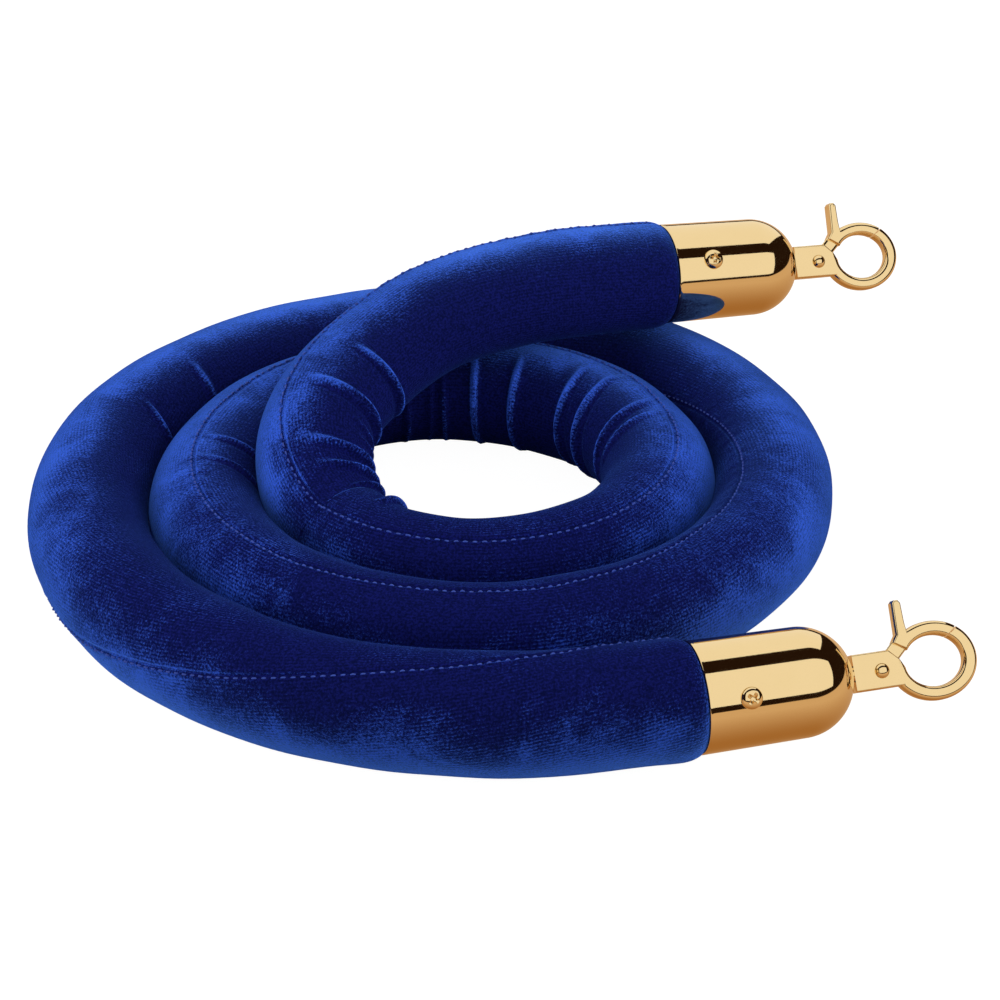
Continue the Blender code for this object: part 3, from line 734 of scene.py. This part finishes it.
def gate_outline():
    """The gate's outline: in along the ring's hole from the nose, up the thumb lever and back outside."""
    outline = arc(RING_CENTRE, RING_INNER, NOSE_INNER_DEG + GATE_GAP_DEG, GATE_HEEL_DEG)
    outline += [GATE_HEEL_CORNER]
    outline += list(reversed(LEVER_OUTLINE))
    return outline + arc(RING_CENTRE, RING_OUTER, GATE_OUTER_END_DEG, NOSE_OUTER_DEG + GATE_GAP_DEG)


def plate_mesh(name, outline, thickness, depth=0.0):
    """A flat plate in the XZ plane, in mm."""
    count = len(outline)
    half = thickness / 2
    vertices = [(x, depth - half, z) for x, z in outline] + [(x, depth + half, z) for x, z in outline]
    sides = [(i, (i + 1) % count, count + (i + 1) % count, count + i) for i in range(count)]
    mesh = bpy.data.meshes.new(name)
    two_faces = [tuple(range(count)), tuple(range(2 * count - 1, count - 1, -1))]
    mesh.from_pydata(vertices, [], two_faces + sides)
    face_outwards(mesh)
    return mesh


def helper(mesh):
    item = bpy.data.objects.new(mesh.name, mesh)
    bpy.context.scene.collection.objects.link(item)
    return item


def plate_rounding(outline, side):
    """The ring's edges are rounded over most, the shank's and the lever's least."""
    middle = (np.array(outline[side]) + outline[(side + 1) % len(outline)]) / 2 - RING_CENTRE
    on_outside = np.hypot(*(middle / RING_OUTER))
    on_inside = np.hypot(*(middle / RING_INNER))
    on_ring = min(abs(on_outside - 1), abs(on_inside - 1)) < 0.02
    return 1.0 if on_ring else SLIGHT_ROUNDING


def rounded_plate(name, outline, square_sides):
    """A plate with its faces' edges rounded over, as a helper object; the square sides keep theirs."""
    mesh = plate_mesh(name, outline, PLATE_THICKNESS)
    count = len(outline)
    weights = mesh.attributes.new("bevel_weight_edge", "FLOAT", "EDGE")
    for edge, weight in zip(mesh.edges, weights.data):
        first, last = sorted(edge.vertices)
        if (first < count) == (last < count):
            step = sorted((first % count, last % count))
            side = step[0] if step[1] - step[0] == 1 else step[1]
            weight.value = 0.0 if side in square_sides else plate_rounding(outline, side)
    item = helper(mesh)
    bevel = item.modifiers.new("rounded", "BEVEL")
    bevel.width = PLATE_BEVEL
    bevel.segments = BEVEL_SEGMENTS
    bevel.use_clamp_overlap = False
    bevel.limit_method = "WEIGHT"
    return item


def cut(item, tool, operation="DIFFERENCE"):
    boolean = item.modifiers.new("cut", "BOOLEAN")
    boolean.operation = operation
    boolean.object = tool
    return tool


def baked(item, tools):
    """The mesh that a helper's modifiers make; the helper and its tools are removed."""
    graph = bpy.context.evaluated_depsgraph_get()
    graph.update()
    mesh = bpy.data.meshes.new_from_object(item.evaluated_get(graph))
    mesh.name = item.name
    for used in (item, *tools):
        bpy.data.objects.remove(used, do_unlink=True)
    return mesh


def rod(name, radius, first, last, axis="X"):
    """A round rod along X, or turned to lie along Y."""
    mesh = turned_mesh(name, [(0.0, first), (radius, first), (radius, last), (0.0, last)], ROUND_SIDES)
    if axis == "Y":
        mesh.transform(Matrix.Rotation(math.pi / 2, 4, "Z"))
    face_outwards(mesh)
    return helper(mesh)


def hook_mesh(name):
    outline = hook_outline()
    nose = outline.index(arc(RING_CENTRE, RING_OUTER, RING_START_DEG, 360 + NOSE_OUTER_DEG)[-1])
    item = rounded_plate(name, outline, (nose, len(outline) - 1))
    slot = plate_mesh(
        "slot",
        [(SLOT_START, SLOT_FLOOR), (SLOT_END, SLOT_FLOOR), (SLOT_END, SLOT_TOP), (SLOT_START, SLOT_TOP)],
        SLOT_WIDTH,
    )
    stem = cut(item, rod("stem", STEM_RADIUS, STEM_END, SLOT_START / 2), "UNION")
    return baked(item, [stem, cut(item, helper(slot))])


def gate_mesh(name):
    """The gate: an arm and thumb lever as thick as the ring, on a thin hub in the shank's slot."""
    outline = gate_outline()
    item = rounded_plate(name, outline, (len(outline) - 1,))
    reach = np.array(NECK_END) - RIVET_CENTRE
    neck = rod("neck", 1.0, 0.0, np.hypot(*reach))
    neck.scale = (1.0, HUB_THICKNESS / 2, NECK_HALF_WIDTH)
    neck.rotation_euler.y = -math.atan2(reach[1], reach[0])
    neck.location = (RIVET_CENTRE[0], HUB_OFFSET, RIVET_CENTRE[1])
    half = HUB_THICKNESS / 2
    hub = rod("hub", HUB_RADIUS, HUB_OFFSET - half, HUB_OFFSET + half, "Y")
    hub.location = (RIVET_CENTRE[0], 0.0, RIVET_CENTRE[1])
    return baked(item, [cut(item, neck, "UNION"), cut(item, hub, "UNION")])


def gold_piece(mesh, material, body, node):
    item = add_piece(mesh.name, mesh, material)
    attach(item, body)
    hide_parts(node)


def build_end(side, mouth, out, material):
    rolled = end_matrix(mouth, out, SCREW_ROLL_DEG[side])
    cap = turned_mesh(f"cap_{side}", cap_profile(), CAP_SEGMENTS)
    gold_piece(finished(cap, rolled), material, "rope", f"end_cap_{side}")
    seat = CAP_RADIUS + (DOME_RADIUS - CAP_RADIUS) * SCREW_POSITION / (CAP_LENGTH - DOME_LENGTH)
    for place, turn in (("front", 0.0), ("back", math.pi)):
        screw = screw_mesh(f"screw_{side}_{place}")
        moved = Matrix.Rotation(turn, 4, "X") @ Matrix.Translation((SCREW_POSITION, -seat, 0.0))
        spun = moved @ Matrix.Rotation(math.radians(SCREW_TURN_DEG[side]), 4, "Y")
        gold_piece(finished(screw, rolled @ spun), material, "rope", f"cap_screw_{side}_{place}")
    plane = end_matrix(mouth, out, HOOK_ROLL_DEG[side]) @ Matrix.Translation((CAP_LENGTH, 0.0, 0.0))
    hook, gate = f"snap_hook_{side}", f"snap_gate_{side}"
    gold_piece(finished(hook_mesh(f"ring_{side}"), plane), material, hook, f"hook_{side}")
    gold_piece(finished(gate_mesh(f"lever_{side}"), plane), material, gate, f"gate_{side}")
    rivet = turned_mesh(f"rivet_{side}", rivet_profile(), ROUND_SIDES)
    upright = Matrix.Rotation(math.pi / 2, 4, "Z")
    upright = Matrix.Translation((RIVET_CENTRE[0], 0.0, RIVET_CENTRE[1])) @ upright
    gold_piece(finished(rivet, plane @ upright), material, hook, f"gate_rivet_{side}")


# Materials


class Nodes:
    """A material's node tree, with short calls to add and link its nodes."""

    def __init__(self, name):
        self.material = bpy.data.materials.new(name)
        self.material.use_nodes = True
        self.tree = self.material.node_tree
        self.shader = self.tree.nodes["Principled BSDF"]

    def put(self, socket, value):
        if isinstance(value, bpy.types.NodeSocket):
            self.tree.links.new(value, socket)
        elif isinstance(value, (tuple, list)) and len(value) == 3 and socket.type == "RGBA":
            socket.default_value = (*value, 1.0)
        else:
            socket.default_value = value

    def add(self, kind, inputs=(), **settings):
        node = self.tree.nodes.new(kind)
        for key, value in settings.items():
            setattr(node, key, value)
        for key, value in dict(inputs).items():
            self.put(node.inputs[key], value)
        return node

    def math(self, operation, *values):
        node = self.add("ShaderNodeMath", operation=operation)
        for socket, value in zip(node.inputs, values):
            self.put(socket, value)
        return node.outputs[0]

    def vector(self, operation, *values):
        node = self.add("ShaderNodeVectorMath", operation=operation)
        for socket, value in zip(node.inputs, values):
            self.put(socket, value)
        return node.outputs["Vector"]

    def scaled(self, vector, factor):
        inputs = {"Vector": vector, "Scale": factor}
        return self.add("ShaderNodeVectorMath", inputs, operation="SCALE").outputs["Vector"]

    def noise(self, vector, scale, detail=2.0, roughness=0.5, distortion=0.0):
        inputs = {
            "Vector": vector,
            "Scale": scale,
            "Detail": detail,
            "Roughness": roughness,
            "Distortion": distortion,
        }
        return self.add("ShaderNodeTexNoise", inputs).outputs["Fac"]

    def step(self, value, low, high, to_low=0.0, to_high=1.0):
        """value eased from low..high to to_low..to_high."""
        inputs = {"Value": value, "From Min": low, "From Max": high, "To Min": to_low, "To Max": to_high}
        return self.add("ShaderNodeMapRange", inputs, interpolation_type="SMOOTHSTEP").outputs[0]

    def mix(self, share, first, second):
        node = self.add("ShaderNodeMix", data_type="RGBA")
        self.put(node.inputs["Factor"], share)
        self.put(node.inputs[6], first)
        self.put(node.inputs[7], second)
        return node.outputs[2]

    def bump(self, height, distance, strength=1.0, normal=None):
        node = self.add("ShaderNodeBump", {"Height": height, "Distance": distance, "Strength": strength})
        if normal is not None:
            self.put(node.inputs["Normal"], normal)
        return node.outputs["Normal"]

    def finish(self, **values):
        for key, value in values.items():
            self.put(self.shader.inputs[key.replace("_", " ")], value)
        return self.material


def velvet_material():
    """Short blue pile on a knitted ground, with its sheen painted into the base colour: dark looked at down
    its fibres, bright looked at across them, with painted shade on the coil's inner sides and painted
    highlights on fold crests.
    """
    nodes = Nodes("blue_velvet_pile")
    place = nodes.add("ShaderNodeTexCoord").outputs["Object"]
    cloth = nodes.add("ShaderNodeSeparateXYZ", {"Vector": nodes.add("ShaderNodeUVMap").outputs["UV"]})
    along, around = cloth.outputs["X"], cloth.outputs["Y"]

    def times(value, factor, plus=0.0):
        return nodes.math("MULTIPLY_ADD", value, factor, plus)

    def wave(distance, pitch, sway):
        return nodes.math("SINE", times(distance, math.tau / pitch, nodes.math("MULTIPLY", wander, sway)))

    def leaning(normal, amount):
        round_way = nodes.vector("CROSS_PRODUCT", normal, length_way)
        return nodes.vector("NORMALIZE", nodes.vector("ADD", normal, nodes.scaled(round_way, amount)))

    def stored(name):
        return nodes.add("ShaderNodeAttribute", attribute_name=name).outputs["Fac"]

    # Knit rows, the pile's grain, and the marks that brushing leaves
    wander = nodes.noise(place, WANDER_SCALE)
    rows, stitches = wave(around, KNIT_ROW, sway=1.5), wave(along, KNIT_STITCH, sway=3.0)
    clearness = nodes.step(nodes.noise(place, CLEARNESS_SCALE), 0.35, 0.6, 0.3, 1.0)
    knit = nodes.math("MULTIPLY", times(stitches, 0.3, rows), clearness)
    grain = nodes.noise(place, GRAIN_SCALE, detail=3.0, roughness=0.7)
    brushed = nodes.noise(place, BRUSHED_SCALE, detail=2.6, roughness=0.55, distortion=0.6)
    patches = nodes.noise(place, PATCH_SCALE, detail=3.0, roughness=0.6, distortion=0.8)
    ground = times(knit, 0.09, nodes.math("MULTIPLY", grain, 1.3))

    # The nap leans round the rope and tilts the normal that the painted sheen in the base colour reads, so
    # the painted sheen differs from side to side
    length_way = nodes.add("ShaderNodeTangent", direction_type="UV_MAP", uv_map="UVMap").outputs[0]
    least, most = NAP_SPREAD
    nap = nodes.step(brushed, 0.3, 0.7, least * NAP_LEAN, most * NAP_LEAN)
    lean = leaning(nodes.bump(times(brushed, 3.5, ground), 0.35 * MM), nap)
    facing = nodes.add("ShaderNodeLayerWeight", {"Blend": 0.5, "Normal": lean}).outputs["Facing"]

    # Painted shade darkens the coil's inner sides, where the turns shade each other, fold crests carry a
    # painted highlight, and patches and grain break the steps up
    patch_shift = times(patches, 0.8, nodes.math("MULTIPLY", brushed, 0.5))
    # Painted shade on the coil's inner sides, lifted on fold ridges
    inner = nodes.step(stored("inside_shade"), *INSIDE_SHADE_STEP, 0.0, -PAINTED_INSIDE_SHADE)
    shift = nodes.math("ADD", nodes.math("SUBTRACT", patch_shift, 0.65), inner)
    seen = nodes.math("ADD", facing, times(stored("crest_highlight"), CREST_HIGHLIGHT_SHIFT, shift))
    speckle = nodes.math("MULTIPLY", nodes.math("SUBTRACT", grain, 0.5), 1.6)
    lit = nodes.step(nodes.math("ADD", seen, times(knit, 0.10, speckle)), *VELVET_STEP)
    low = nodes.mix(nodes.step(times(knit, 0.05, grain), 0.36, 0.66), VELVET_DEEP, VELVET_DARK)
    rough = nodes.bump(times(knit, 0.07, grain), 0.25 * MM, strength=0.9)
    # The base colour carries a painted sheen, the blue seen across the pile; the sheen sockets add real
    # sheen on top
    return nodes.finish(
        Base_Color=nodes.mix(lit, low, VELVET_PAINTED_SHEEN),
        Roughness=1.0,
        Specular_IOR_Level=0.0,
        Sheen_Weight=VELVET_SHEEN,
        Sheen_Roughness=SHEEN_ROUGHNESS,
        Sheen_Tint=SHEEN_TINT,
        Normal=leaning(rough, SURFACE_LEAN),
    )


def thread_material():
    """Blue sewing thread, with its twist."""
    nodes = Nodes("seam_thread")
    place = nodes.add("ShaderNodeTexCoord").outputs["Object"]
    twist = nodes.noise(place, 2400.0, 2.0)
    colour = nodes.mix(twist, (0.012, 0.036, 0.29), (0.038, 0.11, 0.62))
    return nodes.finish(Base_Color=colour, Roughness=0.6, Normal=nodes.bump(twist, 0.05 * MM))


def gold_material():
    """Polished gold plate with faint smears."""
    nodes = Nodes("polished_gold_plate")
    place = nodes.add("ShaderNodeTexCoord").outputs["Object"]
    smear = nodes.noise(place, 90.0, 3.0)
    fine = nodes.noise(place, 2600.0, 2.0)
    colour = nodes.mix(smear, (0.85, 0.64, 0.33), (0.88, 0.67, 0.36))
    roughness = nodes.step(smear, 0.3, 0.8, 0.04, 0.08)
    normal = nodes.bump(fine, 0.002 * MM, 0.3)
    return nodes.finish(Base_Color=colour, Roughness=roughness, Metallic=1.0, Normal=normal)


def plug_material():
    """Plain turned wood, with its grain along the plug."""
    nodes = Nodes("turned_plug_wood")
    place = nodes.add("ShaderNodeTexCoord").outputs["Object"]
    stretched = nodes.add("ShaderNodeMapping", {"Vector": place, "Scale": (60.0, 900.0, 900.0)}).outputs[0]
    grain = nodes.noise(stretched, 1.0, 4.0, 0.6)
    colour = nodes.mix(nodes.step(grain, 0.35, 0.65), (0.42, 0.27, 0.14), (0.60, 0.43, 0.26))
    return nodes.finish(Base_Color=colour, Roughness=0.7, Normal=nodes.bump(grain, 0.1 * MM))


def core_material():
    """Packed off-white fibre."""
    nodes = Nodes("packed_core_fibre")
    place = nodes.add("ShaderNodeTexCoord").outputs["Object"]
    tufts = nodes.noise(place, 350.0, 5.0, 0.7, 1.5)
    colour = nodes.mix(tufts, (0.60, 0.58, 0.52), (0.80, 0.78, 0.73))
    return nodes.finish(Base_Color=colour, Roughness=0.95, Normal=nodes.bump(tufts, 0.8 * MM))


def steel_material():
    """Drawn steel wire and pressed washers, with fine scratches."""
    nodes = Nodes("drawn_spring_steel")
    place = nodes.add("ShaderNodeTexCoord").outputs["Object"]
    scratches = nodes.noise(place, 3000.0, 3.0, 0.6)
    colour = nodes.mix(scratches, (0.48, 0.48, 0.49), (0.62, 0.62, 0.63))
    roughness = nodes.step(scratches, 0.2, 0.8, 0.22, 0.38)
    return nodes.finish(Base_Color=colour, Roughness=roughness, Metallic=1.0)


# Studio


def make_world():
    """A white surround, brighter low down; polished metal sees it nearly black over warm ground."""
    world = bpy.data.worlds.new("studio")
    bpy.context.scene.world = world
    world.use_nodes = True
    tree = world.node_tree
    tree.nodes.clear()

    def add(kind, inputs=(), **settings):
        node = tree.nodes.new(kind)
        for key, value in settings.items():
            setattr(node, key, value)
        for key, value in dict(inputs).items():
            if isinstance(value, bpy.types.NodeSocket):
                tree.links.new(value, node.inputs[key])
            else:
                node.inputs[key].default_value = value
        return node

    direction = add("ShaderNodeTexCoord").outputs["Generated"]
    height = add("ShaderNodeSeparateXYZ", {"Vector": direction}).outputs["Z"]
    fall = dict(zip(("From Min", "From Max", "To Min", "To Max"), (*SKY_HEIGHTS, LOW_SKY, HIGH_SKY)))
    fall["Value"] = height
    strength = add("ShaderNodeMapRange", fall, interpolation_type="SMOOTHSTEP").outputs[0]
    soft = add("ShaderNodeBackground", {"Color": (1.0, 1.0, 1.0, 1.0), "Strength": strength})
    halved = add("ShaderNodeMath", {0: height, 1: 0.5, 2: 0.5}, operation="MULTIPLY_ADD").outputs[0]
    ramp = add("ShaderNodeValToRGB", {"Fac": halved})
    places = [(at + 1) / 2 for at in GROUND_HEIGHTS]
    stops = ramp.color_ramp.elements
    stops[0].position, stops[1].position = places[:2]
    stops.new(places[2])
    stops.new(places[3])
    for stop, colour in zip(stops, (NEAR_GROUND, FAR_GROUND, FAR_GROUND, DARK_SURROUND)):
        stop.color = (*colour, 1.0)
    dark = add("ShaderNodeBackground", {"Color": ramp.outputs["Color"], "Strength": 1.0})
    white = add("ShaderNodeBackground", {"Color": (1.0, 1.0, 1.0, 1.0), "Strength": 1.0})
    path = add("ShaderNodeLightPath")
    glossy, camera = path.outputs["Is Glossy Ray"], path.outputs["Is Camera Ray"]
    lit = add("ShaderNodeMixShader", {0: glossy, 1: soft.outputs[0], 2: dark.outputs[0]})
    shown = add("ShaderNodeMixShader", {0: camera, 1: lit.outputs[0], 2: white.outputs[0]})
    add("ShaderNodeOutputWorld", {"Surface": shown.outputs[0]})


def make_panel(name, corners):
    """A soft box that only polished metal sees: the pale bands on the caps and hooks."""
    nodes = Nodes(name)
    nodes.finish(
        Base_Color=(0.0, 0.0, 0.0),
        Specular_IOR_Level=0.0,
        Emission_Color=PANEL_COLOUR,
        Emission_Strength=1.0,
    )
    mesh = bpy.data.meshes.new(name)
    mesh.from_pydata(corners, [], [(0, 1, 2, 3)])
    panel = add_piece(name, mesh, nodes.material)
    for ray in ("camera", "diffuse", "transmission", "volume_scatter", "shadow"):
        setattr(panel, f"visible_{ray}", False)


def make_floor():
    """A white floor that looks lit from within, so that it stays white."""
    nodes = Nodes("pale_floor")
    seen = nodes.add("ShaderNodeLightPath").outputs["Is Camera Ray"]
    nodes.finish(
        Base_Color=(FLOOR_WHITE,) * 3,
        Roughness=1.0,
        Specular_IOR_Level=0.0,
        Emission_Color=(1.0, 1.0, 1.0),
        Emission_Strength=nodes.math("MULTIPLY", seen, FLOOR_GLOW),
    )
    mesh = bpy.data.meshes.new("floor")
    shape = bmesh.new()
    bmesh.ops.create_circle(shape, cap_ends=True, radius=FLOOR_RADIUS, segments=ROUND_SIDES)
    shape.to_mesh(mesh)
    shape.free()
    floor = add_piece("floor", mesh, nodes.material)
    floor.location.z = -0.1 * MM
    floor.visible_glossy = False


def make_lamp(name, place):
    """A soft box that points at the middle of the floor and lights only cloth."""
    lamp = bpy.data.objects.new(name, bpy.data.lights.new(name, "AREA"))
    bpy.context.scene.collection.objects.link(lamp)
    lamp.data.shape = "RECTANGLE"
    lamp.data.size, lamp.data.size_y = SOFTBOX_SIZE
    lamp.data.energy = SIDE_POWER
    lamp.location = place
    lamp.rotation_euler = (-Vector(place)).to_track_quat("-Z", "Y").to_euler()
    lamp.visible_camera = False
    lamp.visible_glossy = False


bpy.context.scene.view_settings.view_transform = "Standard"
make_camera()
rope_line = SmoothLine(route_points())
velvet = build_sleeve(rope_line, velvet_material())
path = rope_line.at(np.linspace(0.0, rope_line.length, 300))
build_core(rope_line, core_material())
build_stitches(rope_line, thread_material())
gold = gold_material()
for side, distance, inwards in (("a", 0.0, 0.5 * MM), ("b", rope_line.length, -0.5 * MM)):
    mouth, inner = rope_line.at(np.array((distance, distance + inwards)))
    build_end(side, mouth, (mouth - inner) / np.linalg.norm(mouth - inner), gold)
steel = steel_material()
carried = {"plug": plug_material(), "core": core_material(), "washer": steel, "spring": steel}
for name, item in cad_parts.items():
    material = next((found for word, found in carried.items() if word in name), gold)
    item.data.materials.clear()
    item.data.materials.append(material)
make_world()
make_floor()
make_panel("back_panel", BACK_PANEL)
make_panel("front_panel", FRONT_PANEL)
make_lamp("left_softbox", LEFT_SOFTBOX)
make_lamp("right_softbox", RIGHT_SOFTBOX)
